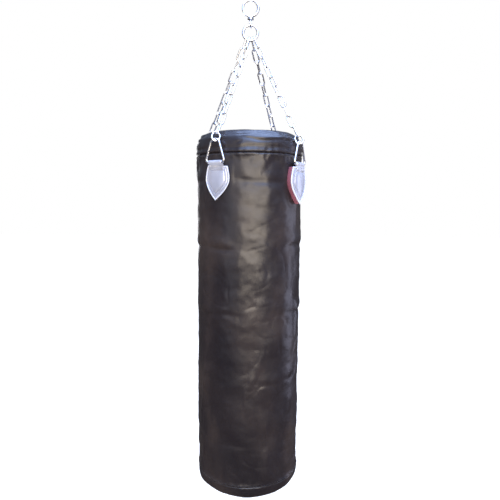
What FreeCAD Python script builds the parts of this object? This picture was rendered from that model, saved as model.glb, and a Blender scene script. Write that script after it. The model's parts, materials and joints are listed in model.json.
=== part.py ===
"""Hanging punching bag: leather bag, four D-rings on leather tabs, four chains, gather ring,
swivel and snap hook.

Millimetres, +Z up. The origin is the point inside the top of the hook where the hook bears on
whatever holds it. -Y is the front of the bag.
"""
import FreeCAD, Part
import math
import os

V = FreeCAD.Vector
UP = V(0, 0, 1)
ALONG_X = V(1, 0, 0)
ALONG_Y = V(0, 1, 0)

# Driving dimensions -------------------------------------------------------------------------

# bag
BAG_R = 175.0
BAG_HEIGHT = 1193.0
RING_ABOVE_BAG = 303.0       # from the lid up to the underside of the gather ring
SHOULDER_R = 38.0            # rounding of the lid
FOOT_R = 32.0                # rounding of the bottom
LEATHER = 2.5
CANVAS = 1.2
LAYER_GAP = 0.1
TOP_SEAM = 70.0              # seam below the lid
BOTTOM_SEAM = 47.0           # seam above the bottom
WELT_HEIGHT = 4.0
WELT_PROUD = 1.2
SEAM_STRIP_WIDTH = 22.0
SEAM_STRIP = 1.6
WELT_ROOT = 0.5              # the welt's sides end this far inside the leather's surface

# hook, swivel and gather ring
HOOK_INNER_R = 21.0
HOOK_WIRE = 8.5
NOSE_ANGLE = 146.0           # where the hook ends, in degrees from +X towards +Z
PIVOT_ANGLE = 225.0
GATE_WIRE = 6.4
GATE_REACH = 33.8            # from the gate's pivot to its tip
NOSE_LENGTH = 30.0           # angle over which the nose and the gate's tip overlap
NOSE_MARGIN = 6.0
LIP_OFFSET = 1.1             # the nose's outer lip begins this far outside the hook's middle line
LATCH_GAP = 0.4
PIN_R = 1.5
PIN_PROUD = 0.4
PIN_FIT = 0.15
FORK_R = 5.0
FORK_SLOT = 6.0
FORK_ROOM = 1.3              # the slot reaches this far past the fork's round end
TONGUE_R = 4.2
TONGUE_SIDE = 0.2            # gap on either side of the gate's tongue
GATE_HEEL = 3.0              # angle between the pivot and the end of the gate's round bar
SPRING_COIL_R = 2.4
SPRING_WIRE = 0.8
SPRING_PITCH = 0.95
SPRING_TURNS = 2
SPRING_STEPS = 8             # points along each turn
SPRING_START = 0.55          # where the coil starts, beside the hook's middle plane
SPRING_ROOM = 1.0
BARREL_R = 10.0
BARREL_HEIGHT = 13.8
BARREL_ROOF = 4.8
BARREL_FLOOR = 4.0
BARREL_EDGE = 2.0
BARREL_CONE = 4.0            # how much the barrel narrows towards the hook
BARREL_CONE_DROP = 5.0
BARREL_OVERLAP = 1.0         # how far the barrel runs up into the hook's bar
CAVITY_R = 7.0
WASHER = 1.4
WASHER_SIDE = 0.5
STEM_R = 3.5
HEAD_R = 6.0
HEAD_HEIGHT = 2.8
COLLAR_R = 5.5
COLLAR_HEIGHT = 3.5
EYE_MID_R = 9.0
EYE_WIRE = 6.0
RING_MID_R = 24.0
RING_WIRE = 8.0
PLAY = 0.3                   # between parts that turn or hang on each other

# chains
LINK_COUNT = 10
LINK_WIRE = 5.0
LINK_INNER_LENGTH = 37.5
LINK_INNER_WIDTH = 11.0
TOP_LINK_PLAY = 1.2
CONNECTOR_WIRE = 6.0
CONNECTOR_INNER_LENGTH = 24.0
CONNECTOR_INNER_WIDTH = 18.0

# D-rings and tabs
DRING_WIRE = 7.0
DRING_OUTER_WIDTH = 72.0
DRING_PLANE_R = 191.0        # distance of the D-rings from the bag's axis
DRING_BAR_DROP = 100.0       # bar below the lid
DRING_TOP_DROP = 27.0        # top of the D-ring below the lid
DRING_CORNER_R = 8.0
DRING_APEX_R = 17.0
TAB_TOP_DROP = 110.0
TAB_HEIGHT = 104.0
TAB_TOP_HALF = 36.5
TAB_MAX_HALF = 45.0
TAB_MAX_DROP = 40.0
TAB_SHOULDER_IN = 2.4        # the side is this much narrower halfway up to the top
TAB_CHEEK_HALF = 30.15       # half-width at the point where the side curves in to the tip
TAB_CHEEK_DROP = 79.04
BACKING = 7.5
TAB_LEATHER = 2.8
FOLD_R = 6.5
FOLD_WIDTH = 47.0
FOLD_DROP = 32.0             # where the folded leather lies flat on the tab again
FOLD_ROOT = 1.2              # the fold starts this deep in the tab's leather
FOLD_SINK = 0.1
FOLD_FIT = 0.2               # gap between the fold and the D-ring's bar

# zipper in the lid
ZIP_LENGTH = 240.0
ZIP_SLOT_LENGTH = 234.0
ZIP_SLOT_WIDTH = 14.0
ZIP_POCKET_LENGTH = 250.0
ZIP_POCKET_WIDTH = 34.0
ZIP_POCKET_DEPTH = 7.5
TAPE_WIDTH = 14.0
TAPE = 1.0
COIL_WIDTH = 2.2
COIL_GROOVE = 1.8
COIL_TOP = 1.2               # coil's top below the lid
COIL_HEIGHT = 3.2
STOP_X = 116.0
STOP_SIZE = (3.0, 7.4, 1.0)
SLIDER_X = 105.0
SLIDER_LENGTH = 12.0
SLIDER_WIDTH = 9.2
SLIDER_PLATE = 1.4
SLIDER_POST = 1.2
CROWN_LENGTH = 7.0
CROWN_WIDTH = 2.0
CROWN_HEIGHT = 3.3
CROWN_BAR = 1.2
POST_BACK = 3.0              # the slider's post starts this far from its rear end
POST_FRONT = 1.0
PULL_LENGTH = 26.0
PULL_WIDTH = 8.0
PULL_THICK = 1.2
PULL_ARM_GAP = 0.4           # gap between the pull's arms and the crown
PULL_ARM_INSET = 0.8
PULL_ARM_LENGTH = 8.0
PULL_HOLE_R = 1.6

# corner name: angle of its D-ring from the front, angle of its top link from the gather ring's
# lowest point, and turn of its connecting link away from square to the D-ring
CORNERS = {
    "front_left": (-33.0, -11.5, 36.0),
    "front_right": (56.0, 32.5, -36.0),
    "back_right": (146.0, 11.5, 36.0),
    "back_left": (236.0, -32.5, -36.0),
}

# Worked-out levels --------------------------------------------------------------------------

HOOK_MID_R = HOOK_INNER_R + HOOK_WIRE / 2
HOOK_Z = -HOOK_INNER_R
BARREL_TOP = HOOK_Z - HOOK_MID_R
BARREL_BOTTOM = BARREL_TOP - BARREL_HEIGHT
CAVITY_TOP = BARREL_TOP - BARREL_ROOF
CAVITY_FLOOR = BARREL_BOTTOM + BARREL_FLOOR
EYE_Z = BARREL_BOTTOM - PLAY - EYE_MID_R - EYE_WIRE / 2
EYE_BOTTOM = EYE_Z - EYE_MID_R
RING_Z = EYE_BOTTOM + (EYE_WIRE + RING_WIRE) / 2 + PLAY - RING_MID_R
RING_BOTTOM = RING_Z - RING_MID_R
LID = RING_BOTTOM - RING_WIRE / 2 - RING_ABOVE_BAG
FLOOR = LID - BAG_HEIGHT
DRING_BAR_Z = LID - DRING_BAR_DROP
DRING_APEX_Z = LID - DRING_TOP_DROP - DRING_WIRE / 2
TAB_TOP_Z = LID - TAB_TOP_DROP
BACKING_R = BAG_R + LAYER_GAP
TAB_R = BACKING_R + BACKING + LAYER_GAP
INNER_R = BAG_R - LEATHER - LAYER_GAP
FILL_R = INNER_R - CANVAS - LAYER_GAP


# Helpers ------------------------------------------------------------------------------------

def on_circle(radius, degrees, centre_z=0.0):
    """Point in the XZ plane, at an angle from +X towards +Z."""
    angle = math.radians(degrees)
    return V(radius * math.cos(angle), 0, centre_z + radius * math.sin(angle))


def wire_arc(centre_z, mid_r, wire_d, start, end):
    """Round bar bent along an arc in the XZ plane, from one angle to the other."""
    angle = math.radians(start)
    tangent = V(-math.sin(angle), 0, math.cos(angle))
    circle = Part.makeCircle(wire_d / 2, on_circle(mid_r, start, centre_z), tangent)
    section = Part.Face(Part.Wire(circle))
    return section.revolve(V(0, 0, centre_z), -ALONG_Y, end - start)


def sweep(edges, wire_d, start, tangent):
    """Round bar along a closed run of edges."""
    profile = Part.Wire(Part.makeCircle(wire_d / 2, start, tangent))
    return Part.Wire(edges).makePipeShell([profile], True, True)


def box(x, y, z):
    """Box from three (low, high) pairs."""
    return Part.makeBox(x[1] - x[0], y[1] - y[0], z[1] - z[0], V(x[0], y[0], z[0]))


def rod_y(radius, x, z, low, high):
    """Cylinder along Y."""
    return Part.makeCylinder(radius, high - low, V(x, low, z), ALONG_Y)


def revolve(edges):
    """Solid turned about the Z axis from a closed outline in the XZ plane."""
    return Part.Face(Part.Wire(edges)).revolve(V(0, 0, 0), UP, 360)


def polyline(points):
    """Closed outline of (x, z) points in the XZ plane."""
    corners = [V(x, 0, z) for x, z in points]
    return Part.makePolygon(corners + corners[:1]).Edges


def at_corner(shape, angle):
    """A shape built at the front of the bag, turned round to its corner."""
    turned = shape.copy()
    turned.rotate(V(0, 0, 0), UP, angle)
    return turned


def carve(solid, tools):
    """The solid with each tool cut out of it in turn."""
    for tool in tools:
        solid = solid.cut(tool)
    return solid


def save(name, shape):
    shape.exportStep("parts/" + name + ".step")


# Hook ---------------------------------------------------------------------------------------

def barrel():
    """Swivel housing under the hook: bore below, wider cavity for the rivet head above it."""
    bore = STEM_R + PLAY
    points = [
        (0, BARREL_TOP + BARREL_OVERLAP), (BARREL_R - BARREL_CONE, BARREL_TOP + BARREL_OVERLAP),
        (BARREL_R, BARREL_TOP - BARREL_CONE_DROP),
        (BARREL_R, BARREL_BOTTOM + BARREL_EDGE), (BARREL_R - BARREL_EDGE, BARREL_BOTTOM),
        (bore, BARREL_BOTTOM), (bore, CAVITY_FLOOR), (CAVITY_R, CAVITY_FLOOR),
        (CAVITY_R, CAVITY_TOP), (0, CAVITY_TOP),
    ]
    return revolve(polyline(points))


def hook_body():
    pivot = on_circle(HOOK_MID_R, PIVOT_ANGLE, HOOK_Z)
    bar = wire_arc(HOOK_Z, HOOK_MID_R, HOOK_WIRE, PIVOT_ANGLE, 360 + NOSE_ANGLE)
    fork = rod_y(FORK_R, pivot.x, pivot.z, -HOOK_WIRE / 2, HOOK_WIRE / 2)
    slot = rod_y(FORK_R + FORK_ROOM, pivot.x, pivot.z, -FORK_SLOT / 2, FORK_SLOT / 2)
    pin_hole = rod_y(PIN_R, pivot.x, pivot.z, -HOOK_WIRE, HOOK_WIRE)
    inside_lip = rod_y(HOOK_MID_R + LIP_OFFSET, 0, HOOK_Z, -HOOK_WIRE, HOOK_WIRE)
    tip_room = rod_y(GATE_REACH + LATCH_GAP, pivot.x, pivot.z, -HOOK_WIRE, HOOK_WIRE)
    latch = inside_lip.common(tip_room).common(nose_sector())
    return carve(bar.fuse([fork, barrel()]), [slot, pin_hole, latch])


def nose_sector():
    """Wedge about the hook's centre that holds the hook's nose and the gate's tip."""
    reach = 3 * HOOK_MID_R
    low = on_circle(reach, NOSE_ANGLE - NOSE_LENGTH, HOOK_Z)
    high = on_circle(reach, NOSE_ANGLE + NOSE_MARGIN, HOOK_Z)
    outline = Part.makePolygon([V(0, 0, HOOK_Z), low, high, V(0, 0, HOOK_Z)])
    wedge = Part.Face(outline).extrude(ALONG_Y * (2 * HOOK_WIRE))
    wedge.translate(-ALONG_Y * HOOK_WIRE)
    return wedge


def hook_gate():
    pivot = on_circle(HOOK_MID_R, PIVOT_ANGLE, HOOK_Z)
    half_slot = FORK_SLOT / 2
    tongue_half = half_slot - TONGUE_SIDE
    bar_start, bar_end = NOSE_ANGLE - NOSE_LENGTH, PIVOT_ANGLE - GATE_HEEL
    bar = wire_arc(HOOK_Z, HOOK_MID_R, GATE_WIRE, bar_start, bar_end)
    bar = bar.common(rod_y(GATE_REACH, pivot.x, pivot.z, -HOOK_WIRE, HOOK_WIRE))
    cheek = rod_y(FORK_R + PLAY, pivot.x, pivot.z, tongue_half, HOOK_WIRE)
    far_cheek = rod_y(FORK_R + PLAY, pivot.x, pivot.z, -HOOK_WIRE, -tongue_half)
    spring_room = rod_y(SPRING_COIL_R + SPRING_ROOM, pivot.x, pivot.z, 0, HOOK_WIRE)
    tongue = rod_y(TONGUE_R, pivot.x, pivot.z, -tongue_half, 0)
    pin_hole = rod_y(PIN_R + PIN_FIT, pivot.x, pivot.z, -HOOK_WIRE, HOOK_WIRE)
    beyond_lip = rod_y(2 * HOOK_MID_R, 0, HOOK_Z, -HOOK_WIRE, HOOK_WIRE)
    tip_r = HOOK_MID_R + LIP_OFFSET - LATCH_GAP
    beyond_lip = beyond_lip.cut(rod_y(tip_r, 0, HOOK_Z, -HOOK_WIRE, HOOK_WIRE))
    tip_relief = beyond_lip.common(nose_sector())
    return carve(bar.fuse(tongue), [cheek, far_cheek, spring_room, pin_hole, tip_relief])


def gate_pin():
    pivot = on_circle(HOOK_MID_R, PIVOT_ANGLE, HOOK_Z)
    half_length = HOOK_WIRE / 2 + PIN_PROUD
    return rod_y(PIN_R, pivot.x, pivot.z, -half_length, half_length)


def gate_spring():
    """Torsion coil round the gate's pin, beside the gate's tongue."""
    pivot = on_circle(HOOK_MID_R, PIVOT_ANGLE, HOOK_Z)
    points = []
    for step in range(SPRING_TURNS * SPRING_STEPS + 1):
        angle = 2 * math.pi * step / SPRING_STEPS
        rise = SPRING_START + SPRING_PITCH * step / SPRING_STEPS
        across, along = SPRING_COIL_R * math.cos(angle), SPRING_COIL_R * math.sin(angle)
        points.append(V(pivot.x + across, rise, pivot.z - along))
    curve = Part.BSplineCurve()
    curve.interpolate(points)
    tangent = curve.tangent(curve.FirstParameter)[0]
    profile = Part.Wire(Part.makeCircle(SPRING_WIRE / 2, points[0], tangent))
    return Part.Wire(curve.toShape()).makePipeShell([profile], True, False)


def thrust_washer():
    outer = Part.makeCylinder(CAVITY_R - WASHER_SIDE, WASHER, V(0, 0, CAVITY_FLOOR))
    return outer.cut(Part.makeCylinder(STEM_R + PLAY, WASHER, V(0, 0, CAVITY_FLOOR)))


def swivel_eye():
    head_z = CAVITY_FLOOR + WASHER + PLAY
    eye_top = EYE_Z + EYE_MID_R + EYE_WIRE / 2
    eye = Part.makeTorus(EYE_MID_R, EYE_WIRE / 2, V(0, 0, EYE_Z), ALONG_X)
    stem = Part.makeCylinder(STEM_R, head_z - EYE_Z - EYE_MID_R, V(0, 0, EYE_Z + EYE_MID_R))
    collar = Part.makeCylinder(COLLAR_R, COLLAR_HEIGHT, V(0, 0, eye_top - COLLAR_HEIGHT))
    head = Part.makeCylinder(HEAD_R, HEAD_HEIGHT, V(0, 0, head_z))
    return eye.fuse([stem, collar, head]).removeSplitter()


def gather_ring():
    return Part.makeTorus(RING_MID_R, RING_WIRE / 2, V(0, 0, RING_Z), ALONG_Y)


# Chains -------------------------------------------------------------------------------------

def oval_link(inner_length, inner_width, wire_d):
    """Link with its length along Z and its width along X, centred on the origin."""
    bend = (inner_width + wire_d) / 2
    reach = (inner_length - inner_width) / 2
    right, left = V(bend, 0, -reach), V(-bend, 0, reach)
    edges = [
        Part.makeLine(right, V(bend, 0, reach)),
        Part.Arc(V(bend, 0, reach), V(0, 0, reach + bend), left).toShape(),
        Part.makeLine(left, V(-bend, 0, -reach)),
        Part.Arc(V(-bend, 0, -reach), V(0, 0, -reach - bend), right).toShape(),
    ]
    return sweep(edges, wire_d, right, UP)


def hang(link, centre, run, width):
    """A link set with its length along the chain's run and its width along the given direction."""
    up = -run
    face = up.cross(width)
    matrix = FreeCAD.Matrix(
        width.x, face.x, up.x, centre.x,
        width.y, face.y, up.y, centre.y,
        width.z, face.z, up.z, centre.z,
        0, 0, 0, 1)
    hung = link.copy()
    hung.Placement = FreeCAD.Placement(matrix)
    return hung


def chain_line(corner):
    """Where a chain hangs on the gather ring, its direction, its length and its widths' turn."""
    dring_angle, ring_angle, offset = CORNERS[corner]
    spot, seat = math.radians(ring_angle), math.radians(dring_angle)
    start = V(RING_MID_R * math.sin(spot), 0, RING_Z - RING_MID_R * math.cos(spot))
    end = V(DRING_PLANE_R * math.sin(seat), -DRING_PLANE_R * math.cos(seat), DRING_APEX_Z)
    run = (end - start).normalize()
    first = run.cross(V(math.cos(spot), 0, math.sin(spot))).normalize()
    last = run.cross(V(math.cos(seat), math.sin(seat), 0)).normalize()
    turn = math.degrees(math.atan2(first.cross(last).dot(run), first.dot(last)))
    turn = (turn + 90) % 180 - 90 + offset
    return start, run, (end - start).Length, first, turn


def chain_and_connector(corner, link, connector):
    """Ten links in a straight taut line from the gather ring, then the larger connecting link."""
    start, run, length, width, turn = chain_line(corner)
    slack = LINK_COUNT * LINK_INNER_LENGTH + CONNECTOR_INNER_LENGTH - length
    gap = (slack - (RING_WIRE + DRING_WIRE) / 2 - TOP_LINK_PLAY) / (LINK_COUNT + 1)
    print(corner, "chain length", round(length, 2), "gap between links", round(gap, 3))
    pitch = LINK_INNER_LENGTH - gap
    first = LINK_INNER_LENGTH / 2 - RING_WIRE / 2 - TOP_LINK_PLAY
    links = []
    for index in range(LINK_COUNT):
        roll = index * (90 + turn / LINK_COUNT)
        turned = FreeCAD.Rotation(run, roll).multVec(width)
        links.append(hang(link, start + run * (first + index * pitch), run, turned))
    below = first + (LINK_COUNT - 1) * pitch + LINK_INNER_LENGTH / 2 - gap
    roll = LINK_COUNT * 90 + turn
    turned = FreeCAD.Rotation(run, roll).multVec(width)
    last = hang(connector, start + run * (below + CONNECTOR_INNER_LENGTH / 2), run, turned)
    return Part.makeCompound(links), last


# D-rings and tabs, built at the front of the bag ---------------------------------------------

def dring():
    """Straight bar below, two legs that close in to a rounded top."""
    height = DRING_APEX_Z - DRING_BAR_Z
    half = (DRING_OUTER_WIDTH - DRING_WIRE) / 2 - DRING_CORNER_R
    corner = V(half, 0, DRING_CORNER_R)
    apex = V(0, 0, height - DRING_APEX_R)
    lean = math.acos((DRING_CORNER_R - DRING_APEX_R) / (apex - corner).Length)
    heading = math.atan2(apex.z - corner.z, apex.x - corner.x) - lean
    outward = V(math.cos(heading), 0, math.sin(heading))
    low, high = corner + outward * DRING_CORNER_R, apex + outward * DRING_APEX_R
    middle = (heading - math.pi / 2) / 2
    elbow = corner + V(math.cos(middle), 0, math.sin(middle)) * DRING_CORNER_R
    mirrored = [V(-p.x, 0, p.z) for p in (low, high, elbow)]
    edges = [
        Part.makeLine(V(-half, 0, 0), V(half, 0, 0)),
        Part.Arc(V(half, 0, 0), elbow, low).toShape(),
        Part.makeLine(low, high),
        Part.Arc(high, V(0, 0, height), mirrored[1]).toShape(),
        Part.makeLine(mirrored[1], mirrored[0]),
        Part.Arc(mirrored[0], mirrored[2], V(-half, 0, 0)).toShape(),
    ]
    ring = sweep(edges, DRING_WIRE, V(-half, 0, 0), ALONG_X)
    ring.translate(V(0, -DRING_PLANE_R, DRING_BAR_Z))
    return ring


def shield_on_bag(inner_r, thickness):
    """Shield-shaped layer that follows the round bag."""
    top_right = V(TAB_TOP_HALF, 0, TAB_TOP_Z)
    widest = V(TAB_MAX_HALF, 0, TAB_TOP_Z - TAB_MAX_DROP)
    tip = V(0, 0, TAB_TOP_Z - TAB_HEIGHT)
    shoulder = V(TAB_MAX_HALF - TAB_SHOULDER_IN, 0, TAB_TOP_Z - TAB_MAX_DROP / 2)
    cheek = V(TAB_CHEEK_HALF, 0, TAB_TOP_Z - TAB_CHEEK_DROP)
    flip = [V(-p.x, 0, p.z) for p in (top_right, widest, shoulder, cheek)]
    edges = [
        Part.makeLine(flip[0], top_right),
        Part.Arc(top_right, shoulder, widest).toShape(),
        Part.Arc(widest, cheek, tip).toShape(),
        Part.Arc(tip, flip[3], flip[1]).toShape(),
        Part.Arc(flip[1], flip[2], flip[0]).toShape(),
    ]
    block = Part.Face(Part.Wire(edges)).extrude(-ALONG_Y * (2 * BAG_R))
    foot = V(0, 0, TAB_TOP_Z - 1.5 * TAB_HEIGHT)
    outer = Part.makeCylinder(inner_r + thickness, 2 * TAB_HEIGHT, foot)
    inner = Part.makeCylinder(inner_r, 2 * TAB_HEIGHT, foot)
    return block.common(outer.cut(inner))


def tab_backing():
    return shield_on_bag(BACKING_R, BACKING)


def tab_face():
    """Outer leather of the tab, folded over the bar of its D-ring."""
    outer_y = -(TAB_R + TAB_LEATHER - FOLD_SINK)
    inner_y = -(TAB_R + FOLD_ROOT)
    outline = Part.makePolygon([
        V(-FOLD_WIDTH / 2, -DRING_PLANE_R - FOLD_R, DRING_BAR_Z),
        V(-FOLD_WIDTH / 2, outer_y, DRING_BAR_Z - FOLD_DROP),
        V(-FOLD_WIDTH / 2, inner_y, DRING_BAR_Z - FOLD_DROP),
        V(-FOLD_WIDTH / 2, inner_y, DRING_BAR_Z - FOLD_R),
        V(-FOLD_WIDTH / 2, -DRING_PLANE_R + FOLD_R, DRING_BAR_Z),
        V(-FOLD_WIDTH / 2, -DRING_PLANE_R - FOLD_R, DRING_BAR_Z)])
    slope = Part.Face(outline).extrude(ALONG_X * FOLD_WIDTH)
    bar_start = V(-FOLD_WIDTH / 2, -DRING_PLANE_R, DRING_BAR_Z)
    roll = Part.makeCylinder(FOLD_R, FOLD_WIDTH, bar_start, ALONG_X)
    bore = Part.makeCylinder(DRING_WIRE / 2 + FOLD_FIT, FOLD_WIDTH, bar_start, ALONG_X)
    leather = shield_on_bag(TAB_R, TAB_LEATHER)
    return leather.fuse([slope, roll]).cut(bore).removeSplitter()


# Bag ----------------------------------------------------------------------------------------

def bag_outline(inset, low, high):
    """Closed outline, from the axis out, of the bag shrunk by inset and cut at two levels."""
    r, top, bottom = BAG_R - inset, LID - inset, FLOOR + inset
    shoulder, foot = SHOULDER_R - inset, FOOT_R - inset
    shoulder_mid = V(r - shoulder * (1 - math.sqrt(0.5)), 0, top - shoulder * (1 - math.sqrt(0.5)))
    foot_mid = V(r - foot * (1 - math.sqrt(0.5)), 0, bottom + foot * (1 - math.sqrt(0.5)))
    edges = [
        Part.makeLine(V(0, 0, top), V(r - shoulder, 0, top)),
        Part.Arc(V(r - shoulder, 0, top), shoulder_mid, V(r, 0, top - shoulder)).toShape(),
        Part.makeLine(V(r, 0, top - shoulder), V(r, 0, bottom + foot)),
        Part.Arc(V(r, 0, bottom + foot), foot_mid, V(r - foot, 0, bottom)).toShape(),
        Part.makeLine(V(r - foot, 0, bottom), V(0, 0, bottom)),
        Part.makeLine(V(0, 0, bottom), V(0, 0, top)),
    ]
    slab = box((-2 * r, 2 * r), (-2 * r, 2 * r), (low, high))
    return revolve(edges).common(slab)


def skin(low, high):
    """Leather between two levels."""
    outer = bag_outline(0, low, high)
    return outer.cut(bag_outline(LEATHER, low - 1, high + 1))


def zip_block(length, width, depth, lift=1.0):
    """Box under the lid, along the zipper."""
    return box((-length / 2, length / 2), (-width / 2, width / 2), (LID - depth, LID + lift))


def top_cap():
    seam = LID - TOP_SEAM
    cap = skin(seam + WELT_HEIGHT / 2, LID + 1)
    return cap.cut(zip_block(ZIP_SLOT_LENGTH, ZIP_SLOT_WIDTH, 2 * LEATHER))


def bottom_cap():
    return skin(FLOOR - 1, FLOOR + BOTTOM_SEAM - WELT_HEIGHT / 2)


def leather_body():
    return skin(FLOOR + BOTTOM_SEAM + WELT_HEIGHT / 2, LID - TOP_SEAM - WELT_HEIGHT / 2)


def welt(level):
    """Piping in a round seam, a little proud of the leather."""
    low, high = level - WELT_HEIGHT / 2, level + WELT_HEIGHT / 2
    inner, outer = BAG_R - LEATHER, BAG_R - WELT_ROOT
    edges = [
        Part.makeLine(V(inner, 0, low), V(outer, 0, low)),
        Part.Arc(V(outer, 0, low), V(BAG_R + WELT_PROUD, 0, level), V(outer, 0, high)).toShape(),
        Part.makeLine(V(outer, 0, high), V(inner, 0, high)),
        Part.makeLine(V(inner, 0, high), V(inner, 0, low)),
    ]
    return revolve(edges)


def back_seam():
    """Strip over the vertical seam at the back, between the two round seams."""
    low = FLOOR + BOTTOM_SEAM + WELT_HEIGHT
    height = LID - TOP_SEAM - WELT_HEIGHT - low
    outer = Part.makeCylinder(BACKING_R + SEAM_STRIP, height, V(0, 0, low))
    ring = outer.cut(Part.makeCylinder(BACKING_R, height, V(0, 0, low)))
    half = SEAM_STRIP_WIDTH / 2
    return ring.common(box((-half, half), (0, 2 * BAG_R), (low, low + height)))


def canvas_liner():
    inset = LEATHER + LAYER_GAP
    outer = bag_outline(inset, FLOOR, LID)
    inner = bag_outline(inset + CANVAS, FLOOR, LID)
    return outer.cut([inner, zip_block(ZIP_POCKET_LENGTH, ZIP_POCKET_WIDTH, ZIP_POCKET_DEPTH)])


def filling():
    core = bag_outline(LEATHER + CANVAS + 2 * LAYER_GAP, FLOOR, LID)
    return core.cut(zip_block(ZIP_POCKET_LENGTH, ZIP_POCKET_WIDTH, ZIP_POCKET_DEPTH))


# Zipper -------------------------------------------------------------------------------------

def zip_stringers():
    """Two tapes under the lid's leather, each with its coil; a groove is left between the coils."""
    tape_top = LID - LEATHER - LAYER_GAP / 2
    half = ZIP_LENGTH / 2
    sides = []
    for side in (-1, 1):
        reach = sorted((side * COIL_GROOVE / 2, side * (COIL_GROOVE / 2 + TAPE_WIDTH)))
        tape = box((-half, half), reach, (tape_top - TAPE, tape_top))
        reach = sorted((side * COIL_GROOVE / 2, side * (COIL_GROOVE / 2 + COIL_WIDTH)))
        top = LID - COIL_TOP
        coil = box((-STOP_X, STOP_X), reach, (top - COIL_HEIGHT, top))
        sides.append(tape.fuse(coil).removeSplitter())
    return Part.makeCompound(sides)


def zip_stops():
    length, width, height = STOP_SIZE
    low = LID - COIL_TOP
    stops = []
    for x in (-STOP_X, STOP_X - length):
        stops.append(box((x, x + length), (-width / 2, width / 2), (low, low + height)))
    return Part.makeCompound(stops)


def zip_slider():
    """Two plates joined by a post that runs in the groove, with a crown for the pull."""
    half_l, half_w = SLIDER_LENGTH / 2, SLIDER_WIDTH / 2
    plate_low = LID - COIL_TOP + PLAY
    plate_top = plate_low + SLIDER_PLATE
    under_top = LID - COIL_TOP - COIL_HEIGHT - PLAY
    tape_top = LID - LEATHER - LAYER_GAP / 2
    flange_y = COIL_GROOVE / 2 + COIL_WIDTH + PLAY
    plate = box((-half_l, half_l), (-half_w, half_w), (plate_low, plate_top))
    under = box((-half_l, half_l), (-half_w, half_w), (under_top - SLIDER_PLATE, under_top))
    post_half = SLIDER_POST / 2
    post_span = (-half_l + POST_BACK, half_l - POST_FRONT)
    post = box(post_span, (-post_half, post_half), (under_top, plate_low))
    near = box((-half_l, half_l), (-half_w, -flange_y), (tape_top + PLAY, plate_low))
    far = box((-half_l, half_l), (flange_y, half_w), (tape_top + PLAY, plate_low))
    half_c, half_cw = CROWN_LENGTH / 2, CROWN_WIDTH / 2
    crown = box((-half_c, half_c), (-half_cw, half_cw), (plate_top, plate_top + CROWN_HEIGHT))
    window = box((-half_c + CROWN_BAR, half_c - CROWN_BAR), (-CROWN_WIDTH, CROWN_WIDTH),
                 (plate_top, plate_top + CROWN_HEIGHT - CROWN_BAR))
    slider = plate.fuse([under, post, near, far, crown.cut(window)]).removeSplitter()
    slider.translate(V(SLIDER_X, 0, 0))
    return slider


def zip_pull():
    """Flat pull whose cross bar lies under the slider's crown."""
    plate_top = LID - COIL_TOP + PLAY + SLIDER_PLATE
    z = plate_top + (CROWN_HEIGHT - CROWN_BAR) / 2
    thick = (-PULL_THICK / 2, PULL_THICK / 2)
    arm = CROWN_WIDTH / 2 + PULL_ARM_GAP
    outer = PULL_WIDTH / 2 - PULL_ARM_INSET
    tip_x = PULL_LENGTH - PULL_WIDTH / 2
    cross_bar = rod_y(PULL_THICK / 2, 0, 0, -outer, outer)
    reach = (0, PULL_ARM_LENGTH)
    arms = [box(reach, (arm, outer), thick), box(reach, (-outer, -arm), thick)]
    tab_start = PULL_ARM_LENGTH - PULL_THICK
    tab = box((tab_start, tip_x), (-PULL_WIDTH / 2, PULL_WIDTH / 2), thick)
    tip = Part.makeCylinder(PULL_WIDTH / 2, PULL_THICK, V(tip_x, 0, -PULL_THICK / 2))
    hole = Part.makeCylinder(PULL_HOLE_R, 2 * PULL_THICK, V(tip_x, 0, -PULL_THICK))
    pull = cross_bar.fuse(arms + [tab, tip]).cut(hole).removeSplitter()
    pull.translate(V(SLIDER_X, 0, z))
    return pull


# Build --------------------------------------------------------------------------------------

os.makedirs("parts", exist_ok=True)

SINGLE_PARTS = {
    "hook_body": hook_body,
    "hook_gate": hook_gate,
    "gate_pin": gate_pin,
    "gate_spring": gate_spring,
    "thrust_washer": thrust_washer,
    "swivel_eye": swivel_eye,
    "gather_ring": gather_ring,
    "top_cap": top_cap,
    "leather_body": leather_body,
    "bottom_cap": bottom_cap,
    "back_seam": back_seam,
    "canvas_liner": canvas_liner,
    "filling": filling,
    "zip_stringers": zip_stringers,
    "zip_stops": zip_stops,
    "zip_slider": zip_slider,
    "zip_pull": zip_pull,
}
for part_name, make in SINGLE_PARTS.items():
    save(part_name, make())
save("top_welt", welt(LID - TOP_SEAM))
save("bottom_welt", welt(FLOOR + BOTTOM_SEAM))

chain_link = oval_link(LINK_INNER_LENGTH, LINK_INNER_WIDTH, LINK_WIRE)
connecting_link = oval_link(CONNECTOR_INNER_LENGTH, CONNECTOR_INNER_WIDTH, CONNECTOR_WIRE)
corner_parts = {"dring": dring(), "tab_face": tab_face(), "tab_backing": tab_backing()}
for corner_name, (corner_angle, _, _) in CORNERS.items():
    chain_shape, connector_shape = chain_and_connector(corner_name, chain_link, connecting_link)
    save("chain_" + corner_name, chain_shape)
    save("connector_" + corner_name, connector_shape)
    for part_name, part_shape in corner_parts.items():
        save(part_name + "_" + corner_name, at_corner(part_shape, corner_angle))
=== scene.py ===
"""Looks of the hanging punching bag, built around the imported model. Metres throughout."""

import json
import math

import bpy
import numpy as np
from mathutils import Matrix, Vector, noise

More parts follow.
